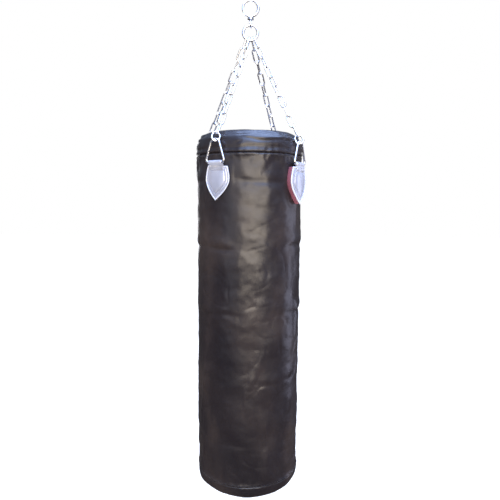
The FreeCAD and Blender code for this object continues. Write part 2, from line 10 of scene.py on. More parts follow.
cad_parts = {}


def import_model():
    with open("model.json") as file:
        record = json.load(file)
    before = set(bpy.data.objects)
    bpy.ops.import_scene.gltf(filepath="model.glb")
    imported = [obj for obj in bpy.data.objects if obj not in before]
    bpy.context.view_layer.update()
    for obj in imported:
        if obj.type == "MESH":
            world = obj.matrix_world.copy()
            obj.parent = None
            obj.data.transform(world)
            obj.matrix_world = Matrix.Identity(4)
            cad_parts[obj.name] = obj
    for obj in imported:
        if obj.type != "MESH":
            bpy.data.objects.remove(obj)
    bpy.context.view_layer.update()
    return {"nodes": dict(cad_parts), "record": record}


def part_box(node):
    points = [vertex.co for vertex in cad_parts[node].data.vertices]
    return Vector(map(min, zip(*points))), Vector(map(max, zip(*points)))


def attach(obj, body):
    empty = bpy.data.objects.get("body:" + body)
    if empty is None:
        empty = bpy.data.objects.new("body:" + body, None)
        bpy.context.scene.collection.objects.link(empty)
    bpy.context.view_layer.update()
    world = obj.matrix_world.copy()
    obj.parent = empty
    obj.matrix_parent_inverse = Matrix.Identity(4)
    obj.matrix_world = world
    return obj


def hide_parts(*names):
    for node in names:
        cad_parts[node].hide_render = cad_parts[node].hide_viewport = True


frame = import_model()

MM = 0.001

# Measures read from the frame ---------------------------------------------------------------

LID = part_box("top_cap")[1].z
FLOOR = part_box("bottom_cap")[0].z
BAG_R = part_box("leather_body")[1].x
TOP_SEAM = (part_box("top_welt")[0].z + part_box("top_welt")[1].z) / 2
BOTTOM_SEAM = (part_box("bottom_welt")[0].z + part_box("bottom_welt")[1].z) / 2
SLOT_HALF_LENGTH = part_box("zip_stops")[1].x + 0.001
PULL_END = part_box("zip_pull")[1].x
CORNERS = ("front_left", "front_right", "back_right", "back_left")
TAB_TOP_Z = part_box("tab_backing_front_left")[1].z


def corner_turn(corner):
    """Angle of a corner's D-ring from the front of the bag."""
    low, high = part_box("dring_" + corner)
    middle = (low + high) / 2
    return math.atan2(middle.x, -middle.y)


TAB_TURNS = [corner_turn(corner) for corner in CORNERS]

# Driving sizes ------------------------------------------------------------------------------

# Resolution of the bag's leather
COLUMNS = 360
SIDE_STEP = 4.2 * MM
SEAM_STEP = 0.75 * MM
SEAM_SPAN = 9 * MM
ROUND_STEP = 3.0 * MM
LID_RINGS = 26
FOOT_RINGS = 15

# Rounded ends of the bag, and the zipper's slot in its lid
SHOULDER_R = 38 * MM
FOOT_R = 32 * MM
SLOT_HALF_WIDTH = 7 * MM
LEATHER = 2.5 * MM
LID_SWELL = 1.6 * MM
LID_LUMP = 1.2 * MM
PULL_CLEAR = 8 * MM
PULL_FADE = 24 * MM
LINER_INSET = 8 * MM
FILLING_INSET = 11 * MM

# Round seams: level, depth of the groove, puckers round the bag, noise seed
TOP_SEED, BOTTOM_SEED = 3.1, 8.7
SEAMS = ((TOP_SEAM, 4.4 * MM, 46, TOP_SEED), (BOTTOM_SEAM, 2.0 * MM, 40, BOTTOM_SEED))
GROOVE_HALF = 1.5 * MM
LAP_ABOVE, LAP_BELOW = 1.9 * MM, 0.6 * MM
LAP_AWAY, LAP_HALF = 6 * MM, 5 * MM
PUCKER, PUCKER_HALF = 0.8 * MM, 17 * MM

# Lumps of the filling: height, stretch along the bag, lumps per metre, noise seed
LUMPS = ((2.4 * MM, 1.4, 6.0, 1.3), (2.2 * MM, 1.2, 13.0, 4.6),
         (1.3 * MM, 1.3, 27.0, 7.9), (0.5 * MM, 1.0, 58.0, 12.9))
# Slanting creases: slant, depth, noise seed
CREASES = ((0.6, 0.8 * MM, 21.0), (-0.9, 0.6 * MM, 27.0))
# Soft folds across the bag: level, depth, noise seed
FOLD_SPACING = 213 * MM
FIRST_FOLD = 155 * MM
FOLD_DEPTHS = (2.0 * MM, 3.8 * MM, 3.6 * MM, 2.4 * MM, 2.0 * MM)
FOLDS = [(LID - (FIRST_FOLD + i * FOLD_SPACING), depth, 31.0 + 6.0 * i)
         for i, depth in enumerate(FOLD_DEPTHS)]
# Folds over the rounded lid: drop below its top, depth, noise seed
SHOULDER_FOLDS = ((13 * MM, 2.6 * MM, 11.0), (31 * MM, 3.0 * MM, 17.0), (55 * MM, 1.4 * MM, 23.0))
FOLD_REACH = 60 * MM
DEEPEST_DENT = 5.5 * MM

# Cloth simulation of the leather tube
SIM_COLUMNS = 132
SIM_STEP = 8.5 * MM
SIM_CAP = 6 * MM
SIM_FRAMES = 20
SIM_SHARE = 0.5

# Tabs. BACKING is how far over the leather a tab's outline keeps its true width
TAB_HEIGHT = 104 * MM
TAB_TOP_HALF = 36.5 * MM
TAB_MAX_HALF = 45 * MM
TAB_MAX_DROP = 40 * MM
TAB_CENTRE = -0.42 * TAB_HEIGHT
BACKING = 7.5 * MM
BACKING_SINK = 1.5 * MM
BACKING_BULGE = 0.045
PIPING_SHARE = 0.975
PIPING_HALF = 2.3 * MM
PIPING_LIFT = 1.7 * MM
TAB_STITCH_SHARE = 0.868
TAB_STITCH_PITCH = 4.6 * MM
TAB_STITCH_LIFT = 1.65 * MM

# Leather folded round a D-ring's bar
BAR_HALF = 3.5 * MM
FOLD_R = 6.6 * MM
FOLD_HALF_WIDTH = 24 * MM
FLAP_OUT = 4.4 * MM
FLAP_STITCH_DROPS = (12.2 * MM, 18.6 * MM)
FLAP_STITCHES = 9

# Thread: places along a stitch, its girth there and how far it stands out there
STITCH_SHAPE = ((0.0, 0.45, -0.6), (0.15, 0.9, 0.1), (0.5, 1.0, 0.45), (0.85, 0.9, 0.1),
                (1.0, 0.45, -0.6))
TAB_THREAD = 0.9 * MM
SEAM_THREAD = 1.0 * MM
SEAM_STITCHES = 210

# Strip over the seam at the back
STRIP_HALF = 11 * MM
STRIP_THICK = 2.2 * MM
STRIP_SINK = 0.9 * MM
STRIP_STITCH_SHARE = 0.66
STRIP_STITCH_PITCH = 5.5 * MM

# Zipper. The tape's inner edge and width are in millimetres
TAPE_TOP_DROP = 1.35 * MM
TAPE_THICK = 1.0 * MM
TAPE_INNER, TAPE_WIDTH = 0.9, 14.0
TOOTH_PITCH = 2.4 * MM
TOOTH_HALF_LENGTH, TOOTH_HALF_HEIGHT = 0.85 * MM, 1.1 * MM
TOOTH_DROP = 1.15 * MM
# Across a tooth, in millimetres from the zipper's middle, and its girth there
TOOTH_SHAPE = ((0.75, 0.55), (0.85, 0.9), (1.3, 1.0), (2.3, 0.85), (3.0, 0.8), (3.1, 0.45))

# corner: thickness of the tab's backing, its reach as a share of the outline, the tab's tilt and
# its stretch. Each hangs a little differently
TAB_LOOKS = {
    "front_left": (5.5 * MM, 0.90, math.radians(4.0), 1.0),
    "front_right": (18.0 * MM, 0.965, math.radians(-1.0), 1.10),
    "back_right": (9.0 * MM, 0.96, math.radians(2.0), 1.02),
    "back_left": (8.0 * MM, 0.95, math.radians(-2.5), 1.0),
}


# Meshes -------------------------------------------------------------------------------------

def mesh_object(name, vertices, faces, smooth=True):
    mesh = bpy.data.meshes.new(name)
    mesh.from_pydata([tuple(v) for v in vertices], [], faces)
    mesh.validate()
    mesh.update()
    if smooth:
        mesh.polygons.foreach_set("use_smooth", [True] * len(mesh.polygons))
    obj = bpy.data.objects.new(name, mesh)
    bpy.context.scene.collection.objects.link(obj)
    return obj


def ring_faces(rows, columns, first_cap=True):
    """Faces between rows of points that each close on themselves, with a flat cap at the ends."""
    faces = []
    for row in range(rows - 1):
        low, high = row * columns, (row + 1) * columns
        for col in range(columns):
            nxt = (col + 1) % columns
            faces.append((low + col, low + nxt, high + nxt, high + col))
    if first_cap:
        faces.append(tuple(reversed(range(columns))))
    faces.append(tuple(range((rows - 1) * columns, rows * columns)))
    return faces


def turned(vertices, angle):
    """Points built at the front of the bag, turned about its axis."""
    turn = Matrix.Rotation(angle, 3, "Z")
    return [turn @ Vector(v) for v in vertices]


def bump_noise(x, y, z, scale, seed):
    """Smooth noise between about -1 and 1."""
    return noise.noise(Vector((x * scale + seed, y * scale - seed, z * scale + 2 * seed)))


def smooth_step(low, high, value):
    """0 at low, 1 at high, with a soft start and end."""
    t = (value - low) / (high - low)
    t = min(max(t, 0.0), 1.0)
    return t * t * (3 - 2 * t)


# The bag's leather --------------------------------------------------------------------------

def bag_profile(inset=0.0):
    """Rows (radius, height, outward radius part, outward height part) from the lid to the bottom."""
    r, top, bottom = BAG_R - inset, LID - inset, FLOOR + inset
    shoulder, foot = SHOULDER_R - inset, FOOT_R - inset
    rows = []
    steps = int(shoulder * math.pi / 2 / ROUND_STEP)
    for i in range(steps + 1):
        a = math.pi / 2 * (1 - i / steps)
        rows.append((r - shoulder + shoulder * math.cos(a), top - shoulder + shoulder * math.sin(a),
                     math.cos(a), math.sin(a)))
    high, low = top - shoulder, bottom + foot
    z = high
    while True:
        near_seam = min(abs(z - TOP_SEAM), abs(z - BOTTOM_SEAM)) < SEAM_SPAN
        z -= SEAM_STEP if near_seam else SIDE_STEP
        if z < low + 0.5 * MM:
            break
        rows.append((r, z, 1.0, 0.0))
    steps = int(foot * math.pi / 2 / ROUND_STEP)
    for i in range(steps + 1):
        a = math.pi / 2 * i / steps
        rows.append((r - foot + foot * math.cos(a), low - foot * math.sin(a), math.cos(a), -math.sin(a)))
    return rows


def round_noise(angle, scale, seed, height=0.0):
    """Smooth noise that joins up round the bag."""
    return bump_noise(math.cos(angle), math.sin(angle), height, scale, seed)


def seam_wave(angle, seed):
    """How far a round seam strays from its level."""
    return 1.2 * MM * round_noise(angle, 2.2, seed)


def seam_shape(z, angle):
    """How far the leather stands out near the two round seams."""
    out = 0.0
    for seam, depth, count, seed in SEAMS:
        d = z - seam - seam_wave(angle, seed)
        if abs(d) > FOLD_REACH:
            continue
        out -= depth * math.exp(-(d / GROOVE_HALF) ** 2)
        lap = LAP_ABOVE if d > 0 else LAP_BELOW
        out += lap * math.exp(-((abs(d) - LAP_AWAY) / LAP_HALF) ** 2)
        near = math.exp(-(d / PUCKER_HALF) ** 2)
        phase = 3.0 * round_noise(angle, 1.7, seed + 5, d * 4)
        strength = 0.5 + 0.5 * round_noise(angle, 3.0, seed + 9)
        out += PUCKER * near * strength * math.sin(count * angle + phase)
    return out


def leather_relief(x, y, z, angle):
    """Lumps of the filling, slanting creases and soft folds, as a distance outwards."""
    out = 0.0
    for height, stretch, scale, seed in LUMPS:
        out += height * bump_noise(x, y, stretch * z, scale, seed)
    for slant, depth, seed in CREASES:
        ridge = bump_noise(x + slant * z, y - slant * z, z, 10.0, seed)
        broken = smooth_step(-0.1, 0.3, bump_noise(x, y, z, 7.0, seed + 3))
        out -= depth * broken * math.exp(-(ridge / 0.06) ** 2)
    for level, depth, seed in FOLDS:
        wave = 20 * MM * round_noise(angle, 1.1, seed)
        d = z - level - wave
        if abs(d) > FOLD_REACH:
            continue
        reach = smooth_step(-0.25, 0.35, round_noise(angle, 1.4, seed + 4))
        out -= depth * reach * math.exp(-(d / (9 * MM)) ** 2)
        out += 0.7 * depth * reach * math.exp(-((d - 22 * MM) / (15 * MM)) ** 2)
    return out


def shoulder_folds(z, angle):
    """Loose leather that rolls over the rounded lid in wavy folds."""
    out = 0.0
    for drop, depth, seed in SHOULDER_FOLDS:
        wave = 7 * MM * round_noise(angle, 2.6, seed)
        d = z - (LID - drop) - wave
        reach = smooth_step(-0.5, 0.3, round_noise(angle, 2.1, seed + 2))
        out -= depth * reach * math.exp(-(d / (3.4 * MM)) ** 2)
        out += 0.8 * depth * reach * math.exp(-((d - 7.5 * MM) / (5 * MM)) ** 2)
    return out


def under_tab(z, angle):
    """Share, 0 to 1, by which a tab presses the leather flat at a point."""
    share = 0.0
    for turn in TAB_TURNS:
        across = ((angle - turn + math.pi / 2 + math.pi) % (2 * math.pi) - math.pi) * BAG_R
        side = 1 - smooth_step(TAB_MAX_HALF - 6 * MM, TAB_MAX_HALF + 12 * MM, abs(across))
        drop = TAB_TOP_Z - z
        below = smooth_step(-18 * MM, 6 * MM, drop)
        above = 1 - smooth_step(TAB_HEIGHT - 20 * MM, TAB_HEIGHT + 15 * MM, drop)
        share = max(share, side * (below * above))
    return share


def side_out(z, angle):
    """How far the leather's surface stands out from the plain bag, at a level and an angle."""
    x, y = BAG_R * math.cos(angle), BAG_R * math.sin(angle)
    out = leather_relief(x, y, z, angle) + settled(z, angle)
    out *= 1 - under_tab(z, angle)
    out += seam_shape(z, angle)
    if z > TOP_SEAM:
        out += shoulder_folds(z, angle) * smooth_step(TOP_SEAM, TOP_SEAM + 10 * MM, z)
    return max(out, -DEEPEST_DENT)


def settle_leather():
    """Cloth simulation of the leather round the pressed filling: outward moves on a coarse grid.

    Each row's mean move is taken off, so the simulation adds wrinkles and doesn't swell the bag.
    """
    top, bottom = TOP_SEAM - 3 * MM, BOTTOM_SEAM + 3 * MM
    rows = int((top - bottom) / SIM_STEP) + 1
    vertices = []
    for row in range(rows):
        z = top + (bottom - top) * row / (rows - 1)
        for col in range(SIM_COLUMNS):
            a = 2 * math.pi * col / SIM_COLUMNS
            r = BAG_R + 1.5 * MM * bump_noise(math.cos(a) * BAG_R, math.sin(a) * BAG_R, z, 30.0, 40.0)
            vertices.append((r * math.cos(a), r * math.sin(a), z))
    obj = mesh_object("leather_trial", vertices, ring_faces(rows, SIM_COLUMNS))
    start = np.array(vertices)
    group = obj.vertex_groups.new(name="sewn")
    last = (rows - 1) * SIM_COLUMNS
    group.add(list(range(SIM_COLUMNS)) + list(range(last, last + SIM_COLUMNS)), 1.0, "REPLACE")
    settings = obj.modifiers.new("cloth", "CLOTH").settings
    settings.vertex_group_mass = "sewn"
    settings.quality = 5
    settings.mass = 0.4
    settings.tension_stiffness = 18
    settings.compression_stiffness = 18
    settings.shear_stiffness = 6
    settings.bending_stiffness = 0.6
    settings.shrink_min = -0.022
    settings.use_pressure = True
    settings.uniform_pressure_force = 4
    settings.effector_weights.gravity = 0
    scene = bpy.context.scene
    for number in range(1, SIM_FRAMES + 1):
        scene.frame_set(number)
    shaped = obj.evaluated_get(bpy.context.evaluated_depsgraph_get()).to_mesh()
    end = np.empty(len(shaped.vertices) * 3)
    shaped.vertices.foreach_get("co", end)
    end = end.reshape(-1, 3)[:len(start)]
    out = np.hypot(end[:, 0], end[:, 1]) - np.hypot(start[:, 0], start[:, 1])
    out = np.clip(out, -SIM_CAP, SIM_CAP).reshape(rows, SIM_COLUMNS)
    scene.frame_set(1)
    bpy.data.objects.remove(obj, do_unlink=True)
    return SIM_SHARE * (out - out.mean(axis=1, keepdims=True)), top, bottom


SETTLED = None  # what settle_leather() returned, or None while the simulation is skipped


def settled(z, angle):
    """Outward move of the simulated leather, read between the grid's points."""
    if SETTLED is None:
        return 0.0
    grid, top, bottom = SETTLED
    row = (top - z) / (top - bottom) * (grid.shape[0] - 1)
    if not 0 <= row < grid.shape[0] - 1:
        return 0.0
    col = (angle % (2 * math.pi)) / (2 * math.pi) * SIM_COLUMNS
    r0, c0 = int(row), int(col) % SIM_COLUMNS
    r1, c1 = r0 + 1, (c0 + 1) % SIM_COLUMNS
    fr, fc = row - r0, col - int(col)
    upper = grid[r0, c0] * (1 - fc) + grid[r0, c1] * fc
    lower = grid[r1, c0] * (1 - fc) + grid[r1, c1] * fc
    return float(upper * (1 - fr) + lower * fr)


def slot_point(angle):
    """Edge of the zipper's slot in the lid."""
    x = SLOT_HALF_LENGTH * min(max(1.06 * math.cos(angle), -1), 1)
    y = SLOT_HALF_WIDTH * min(max(3.0 * math.sin(angle), -1), 1)
    return x, y


def lid_lump(x, y):
    """Height of the stuffed lid over its plain level, pressed flat where the zipper's pull lies."""
    past = Vector((x - min(max(x, SLOT_HALF_LENGTH), PULL_END), y)).length
    bare = smooth_step(PULL_CLEAR, PULL_FADE, past)
    return bare * (LID_SWELL + LID_LUMP * bump_noise(x, y, 0.0, 26.0, 2.2))


def lid_points():
    """Rings from the slot's turned-down edge out to where the lid rounds off."""
    rings = []
    flat_r = BAG_R - SHOULDER_R
    for drop, grow in ((LEATHER, 0.0), (0.8 * MM, 0.0), (0.15 * MM, 0.5 * MM)):
        ring = []
        for col in range(COLUMNS):
            a = 2 * math.pi * col / COLUMNS
            x, y = slot_point(a)
            ring.append((x + grow * math.cos(a), y + grow * math.sin(a), LID - drop))
        rings.append(ring)
    for i in range(1, LID_RINGS):
        t = i / LID_RINGS
        ring = []
        for col in range(COLUMNS):
            a = 2 * math.pi * col / COLUMNS
            x0, y0 = slot_point(a)
            x = x0 + (flat_r * math.cos(a) - x0) * t
            y = y0 + (flat_r * math.sin(a) - y0) * t
            ring.append((x, y, LID + smooth_step(0.0, 0.35, t) * lid_lump(x, y)))
        rings.append(ring)
    return rings


def bag_leather():
    """The whole leather skin as one piece, from the slot in the lid to the middle of the bottom."""
    rings = lid_points()
    for r, z, nr, nz in bag_profile():
        ring = []
        lid_share = smooth_step(LID - 6 * MM, LID, z)
        foot_share = smooth_step(FLOOR + 8 * MM, FLOOR, z)
        for col in range(COLUMNS):
            a = 2 * math.pi * col / COLUMNS
            x, y = r * math.cos(a), r * math.sin(a)
            out = (1 - lid_share) * (1 - foot_share) * side_out(z, a)
            swell = lid_share * lid_lump(x, y)
            ring.append(((r + out * nr) * math.cos(a), (r + out * nr) * math.sin(a),
                         z + out * nz + swell))
        rings.append(ring)
    r_foot = BAG_R - FOOT_R
    for i in range(1, FOOT_RINGS):
        r = r_foot * (1 - i / FOOT_RINGS)
        rings.append([(r * math.cos(2 * math.pi * c / COLUMNS), r * math.sin(2 * math.pi * c / COLUMNS),
                       FLOOR) for c in range(COLUMNS)])
    vertices = [v for ring in rings for v in ring]
    return mesh_object("bag_leather", vertices, ring_faces(len(rings), COLUMNS, first_cap=False))


def inner_bag(name, inset, columns=48):
    """Plain inner layer of the bag, hidden by the leather."""
    rows = bag_profile(inset)
    rows = rows[:-2:4] + rows[-1:]
    vertices = []
    for r, z, _, _ in rows:
        for col in range(columns):
            a = 2 * math.pi * col / columns
            vertices.append((r * math.cos(a), r * math.sin(a), z))
    return mesh_object(name, vertices, ring_faces(len(rows), columns))


# Tabs ---------------------------------------------------------------------------------------

def shield_outline(steps=14):
    """Half-widths and drops round the shield, clockwise from its top left corner."""
    right = []
    for i in range(steps + 1):
        t = i / steps
        widening = (TAB_MAX_HALF - TAB_TOP_HALF) * math.sin(t * math.pi / 2)
        right.append((TAB_TOP_HALF + widening, -TAB_MAX_DROP * t))
    lower = TAB_HEIGHT - TAB_MAX_DROP
    for i in range(1, 2 * steps + 1):
        t = i / (2 * steps)
        right.append((TAB_MAX_HALF * (1 - t ** 1.75), -TAB_MAX_DROP - lower * t))
    top = [(-TAB_TOP_HALF + 2 * TAB_TOP_HALF * i / steps, 0.0) for i in range(steps)]
    left = [(-a, d) for a, d in reversed(right[:-1])]
    return top + right + left[:-1]


def on_bag(across, z, radius):
    """A point at the front of the bag, at a distance across its round surface."""
    a = across / (BAG_R + BACKING)
    return radius * math.sin(a), -radius * math.cos(a), z


def shield_point(across, drop, share, tilt, stretch):
    """A point of the shield's outline drawn in to a share of its size, stretched and tilted."""
    a, d = across * share, stretch * (TAB_CENTRE + (drop - TAB_CENTRE) * share)
    return a * math.cos(tilt) + d * math.sin(tilt), d * math.cos(tilt) - a * math.sin(tilt)


def shield_solid(name, rings, angle, tilt, stretch):
    """Closed shield built from rings (share of the outline, radius), from its back to its front."""
    outline = shield_outline()
    vertices = []
    for share, radius in rings:
        for across, drop in outline:
            a, d = shield_point(across, drop, share, tilt, stretch)
            soft = 0.35 * MM * bump_noise(a, d, radius, 60.0, 5.0 + angle)
            vertices.append(on_bag(a, TAB_TOP_Z + d, radius + soft))
    return mesh_object(name, turned(vertices, angle), ring_faces(len(rings), len(outline)))


def face_rings(base):
    """Turned edge, stitched groove and raised, padded middle of the tab's outer leather."""
    edge = ((0.02, 0.0), (0.95, 0.0), (0.957, 0.8), (0.95, 1.6), (0.93, 1.9))
    groove = ((0.90, 1.9), (0.875, 1.5), (0.86, 1.5), (0.84, 2.1), (0.80, 2.8), (0.75, 3.1), (0.72, 2.9))
    middle = ((0.705, 1.9), (0.69, 1.7), (0.675, 2.4), (0.65, 3.7), (0.60, 4.5), (0.50, 5.1),
              (0.38, 5.5), (0.26, 5.7), (0.14, 5.8), (0.02, 5.8))
    return [(share, base + height * MM) for share, height in edge + groove + middle]


def piping(name, base, angle, tilt, stretch):
    """Rolled light edging round the tab."""
    sides = 12
    spread = PIPING_HALF / (TAB_MAX_HALF + MM)
    turns = [2 * math.pi * i / sides for i in range(sides)]
    rings = [(PIPING_SHARE + spread * math.cos(a), base + PIPING_LIFT + PIPING_HALF * math.sin(a))
             for a in turns]
    obj = shield_solid(name, rings, angle, tilt, stretch)
    count = len(shield_outline())
    mesh = obj.data
    points = [tuple(v.co) for v in mesh.vertices]
    faces = []
    for row in range(sides):
        low, high = row * count, ((row + 1) % sides) * count
        for col in range(count):
            nxt = (col + 1) % count
            faces.append((low + col, low + nxt, high + nxt, high + col))
    bpy.data.objects.remove(obj, do_unlink=True)
    return mesh_object(name, points, faces)


def tab_stitches(corner, face_r, turn, tilt, stretch):
    """Stitches in the groove beside the tab's piping."""
    points = [Vector(shield_point(across, drop, TAB_STITCH_SHARE, tilt, stretch))
              for across, drop in shield_outline(24)]
    length = sum((points[(i + 1) % len(points)] - p).length for i, p in enumerate(points))
    stitches = []
    for marks in walk(points, length, int(length / TAB_STITCH_PITCH)):
        ends = turned([on_bag(p.x, TAB_TOP_Z + p.y, face_r + TAB_STITCH_LIFT) for p in marks], turn)
        outward = Vector((ends[0].x, ends[0].y, 0.0)).normalized()
        stitches.append((ends[0], ends[1], outward))
    return thread("tab_thread_" + corner, stitches, TAB_THREAD)


def walk(points, length, count):
    """Evenly spaced stitches along a closed run of points."""
    def at(distance):
        distance %= length
        for i, p in enumerate(points):
            q = points[(i + 1) % len(points)]
            step = (q - p).length
            if distance <= step:
                return p.lerp(q, distance / step)
            distance -= step
        return points[0].copy()
    return [(at((i + 0.14) * length / count), at((i + 0.86) * length / count)) for i in range(count)]


def backing_rings(base, thick, reach):
    """Padded backing with a bulging side."""
    rings = [(0.02, base), (0.85, base)]
    for i in range(13):
        a = -math.pi / 2 + math.pi * i / 12
        rings.append((reach + BACKING_BULGE * math.cos(a), base + thick / 2 + thick / 2 * math.sin(a)))
    rings += [(0.85, base + thick), (0.02, base + thick)]
    return rings


def fold_piece(name, bar, face_r, angle):
    """Leather folded round the D-ring's bar, pinched to the tab under it, with a flap below."""
    out_r = face_r + FLAP_OUT
    front = [(bar[0] + FOLD_R * math.cos(a), FOLD_R * math.sin(a))
             for a in (math.radians(200 - 13.5 * i) for i in range(19))]
    neck = [(out_r - 0.4 * MM, -8.2 * MM), (out_r - 0.9 * MM, -9.6 * MM), (out_r - 0.2 * MM, -11.5 * MM),
            (out_r, -14.0 * MM), (out_r - 0.1 * MM, -20.0 * MM), (out_r - 0.9 * MM, -21.4 * MM),
            (face_r + 1.0 * MM, -21.6 * MM), (face_r + 0.6 * MM, -14.0 * MM),
            (face_r + 0.6 * MM, -8.0 * MM)]
    section = [Vector(p) for p in front + neck]
    ends = [(-1.0, 0.86), (-0.985, 0.95), (-0.95, 1.0)]
    spans = ends + [(-0.9 + 0.1 * i, 1.0) for i in range(19)] + [(-a, s) for a, s in reversed(ends)]
    middle = sum(section, Vector((0, 0))) / len(section)
    vertices = []
    for along, share in spans:
        for point in section:
            p = middle + (point - middle) * share
            soft = 0.3 * MM * bump_noise(along * 0.03, p.x, p.y, 160.0, 5.0 + angle)
            vertices.append((along * FOLD_HALF_WIDTH, -(p.x + soft), bar[1] + p.y))
    return mesh_object(name, turned(vertices, angle), ring_faces(len(spans), len(section)))


def fold_stitches(corner, bar, face_r, turn):
    """Two rows of stitches across the folded flap."""
    stitches = []
    out_r = face_r + FLAP_OUT - 0.05 * MM
    for drop in FLAP_STITCH_DROPS:
        for i in range(FLAP_STITCHES):
            along = [-0.86 + 1.72 * (i + share) / FLAP_STITCHES for share in (0.14, 0.86)]
            ends = turned([(share * FOLD_HALF_WIDTH, -out_r, bar[1] - drop) for share in along], turn)
            stitches.append((ends[0], ends[1], turned([(0, -1, 0)], turn)[0]))
    return thread("fold_thread_" + corner, stitches, TAB_THREAD)


# Thread, seam strip and zipper ---------------------------------------------------------------

def thread(name, stitches, thick):
    """Short stitches as one mesh: each is (start, end, outward direction), sunk at both ends."""
    vertices, faces = [], []
    sides = 6
    for start, end, outward in stitches:
        along = (end - start).normalized()
        across = along.cross(outward).normalized()
        base = len(vertices)
        for share, girth, lift in STITCH_SHAPE:
            middle = start.lerp(end, share) + outward * (lift * thick)
            for k in range(sides):
                a = 2 * math.pi * k / sides
                way = across * math.cos(a) + outward * math.sin(a)
                vertices.append(middle + way * (girth * thick / 2))
        last = len(STITCH_SHAPE) - 1
        for row in range(last):
            for k in range(sides):
                n = (k + 1) % sides
                low, high = base + row * sides, base + (row + 1) * sides
                faces.append((low + k, high + k, high + n, low + n))
        faces.append(tuple(base + k for k in range(sides)))
        faces.append(tuple(base + last * sides + k for k in reversed(range(sides))))
    return mesh_object(name, vertices, faces)


def on_leather(z, angle, lift=0.0):
    """A point on the bag's side and the direction straight out of it."""
    outward = Vector((math.cos(angle), math.sin(angle), 0.0))
    return Vector((0.0, 0.0, z)) + outward * (BAG_R + side_out(z, angle) + lift), outward


def round_stitches(name, level, seed):
    """A row of stitches right round the bag, beside the seam that has this noise seed."""
    stitches = []
    for i in range(SEAM_STITCHES):
        ends = []
        for share in (0.12, 0.88):
            a = 2 * math.pi * (i + share) / SEAM_STITCHES
            ends.append(on_leather(level + seam_wave(a, seed), a))
        stitches.append((ends[0][0], ends[1][0], ends[0][1]))
    return thread(name, stitches, SEAM_THREAD)


def strip_lift(across):
    """Height of the back strip's surface over the leather, from edge to edge."""
    edge = min(1.0, (1 - abs(across)) / 0.16)
    sewn = 1 - 0.35 * math.exp(-((abs(across) - STRIP_STITCH_SHARE) / 0.09) ** 2)
    return STRIP_THICK * math.sqrt(max(1 - (1 - edge) ** 2, 0.0)) * sewn


def seam_strip():
    """Leather strip sewn down over the bag's vertical seam at the back."""
    high, low = TOP_SEAM - 4 * MM, BOTTOM_SEAM + 4 * MM
    rows, cols = int((high - low) / (4 * MM)), 28
    vertices = []
    for row in range(rows + 1):
        z = high + (low - high) * row / rows
        for outer in (True, False):
            for col in range(cols + 1):
                across = (-1 if outer else 1) * (1 - 2 * col / cols)
                angle = math.pi / 2 - across * STRIP_HALF / BAG_R
                lift = strip_lift(across) - 0.2 * MM if outer else -STRIP_SINK
                vertices.append(on_leather(z, angle, lift)[0])
    return mesh_object("back_strip", vertices, ring_faces(rows + 1, 2 * (cols + 1)))


def strip_stitches():
    """Two rows of stitches down the back strip."""
    high, low = TOP_SEAM - 8 * MM, BOTTOM_SEAM + 8 * MM
    count = int((high - low) / STRIP_STITCH_PITCH)
    stitches = []
    for side in (-STRIP_STITCH_SHARE, STRIP_STITCH_SHARE):
        angle = math.pi / 2 - side * STRIP_HALF / BAG_R
        for i in range(count):
            levels = [high + (low - high) * (i + share) / count for share in (0.12, 0.88)]
            ends = [on_leather(z, angle, 0.62 * STRIP_THICK) for z in levels]
            stitches.append((ends[0][0], ends[1][0], ends[0][1]))
    return thread("strip_thread", stitches, TAB_THREAD)


def zip_tapes():
    """The zipper's two woven tapes, gently rippled, with a corded inner edge."""
    half, top = SLOT_HALF_LENGTH + 2.6 * MM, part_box("zip_stringers")[1].z - TAPE_TOP_DROP
    objects = []
    for side, name in ((-1, "front"), (1, "back")):
        vertices = []
        rows, cols = 120, 8
        for row in range(rows + 1):
            x = -half + 2 * half * row / rows
            for low in (False, True):
                for col in range(cols + 1):
                    share = col / cols if not low else 1 - col / cols
                    y = (TAPE_INNER + TAPE_WIDTH * share) * MM
                    bead = 0.35 * MM * math.exp(-((share - 0.05) / 0.05) ** 2)
                    ripple = 0.18 * MM * bump_noise(x, y, 0.0, 90.0, 3.0 + side)
                    vertices.append((x, side * y, top - (TAPE_THICK if low else -bead) + ripple))
        objects.append(mesh_object("zip_tape_" + name, vertices, ring_faces(rows + 1, 2 * (cols + 1))))
    return objects


def zip_teeth():
    """Two rows of rounded teeth, half a pitch apart, with the slider's groove between them."""
    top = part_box("zip_stringers")[1].z
    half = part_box("zip_stops")[1].x - 3.4 * MM
    vertices, faces = [], []
    sides = 8
    last = len(TOOTH_SHAPE) - 1
    for side in (-1, 1):
        for i in range(int(2 * half / TOOTH_PITCH)):
            x = -half + (i + (0.25 if side > 0 else 0.75)) * TOOTH_PITCH
            base = len(vertices)
            for y, girth in TOOTH_SHAPE:
                for k in range(sides):
                    a = 2 * math.pi * k / sides
                    vertices.append((x + TOOTH_HALF_LENGTH * girth * math.cos(a), side * y * MM,
                                     top - TOOTH_DROP + TOOTH_HALF_HEIGHT * girth * math.sin(a)))
            for row in range(last):
                for k in range(sides):
                    n = (k + 1) % sides
                    low, high = base + row * sides, base + (row + 1) * sides
                    quad = (low + k, high + k, high + n, low + n)
                    faces.append(quad if side > 0 else tuple(reversed(quad)))
            first = tuple(base + k for k in range(sides))
            end = tuple(base + last * sides + k for k in reversed(range(sides)))
            faces += [first, end] if side > 0 else [tuple(reversed(first)), tuple(reversed(end))]
    return mesh_object("zip_teeth", vertices, faces)


# Materials ----------------------------------------------------------------------------------

def fill_ramp(elements, stops):
    """Colour stops (place, colour) of a ramp."""
    while len(elements) < len(stops):
        elements.new(0.5)
    for element, (at, color) in zip(elements, stops):
        element.position = at
        element.color = (*color, 1.0)


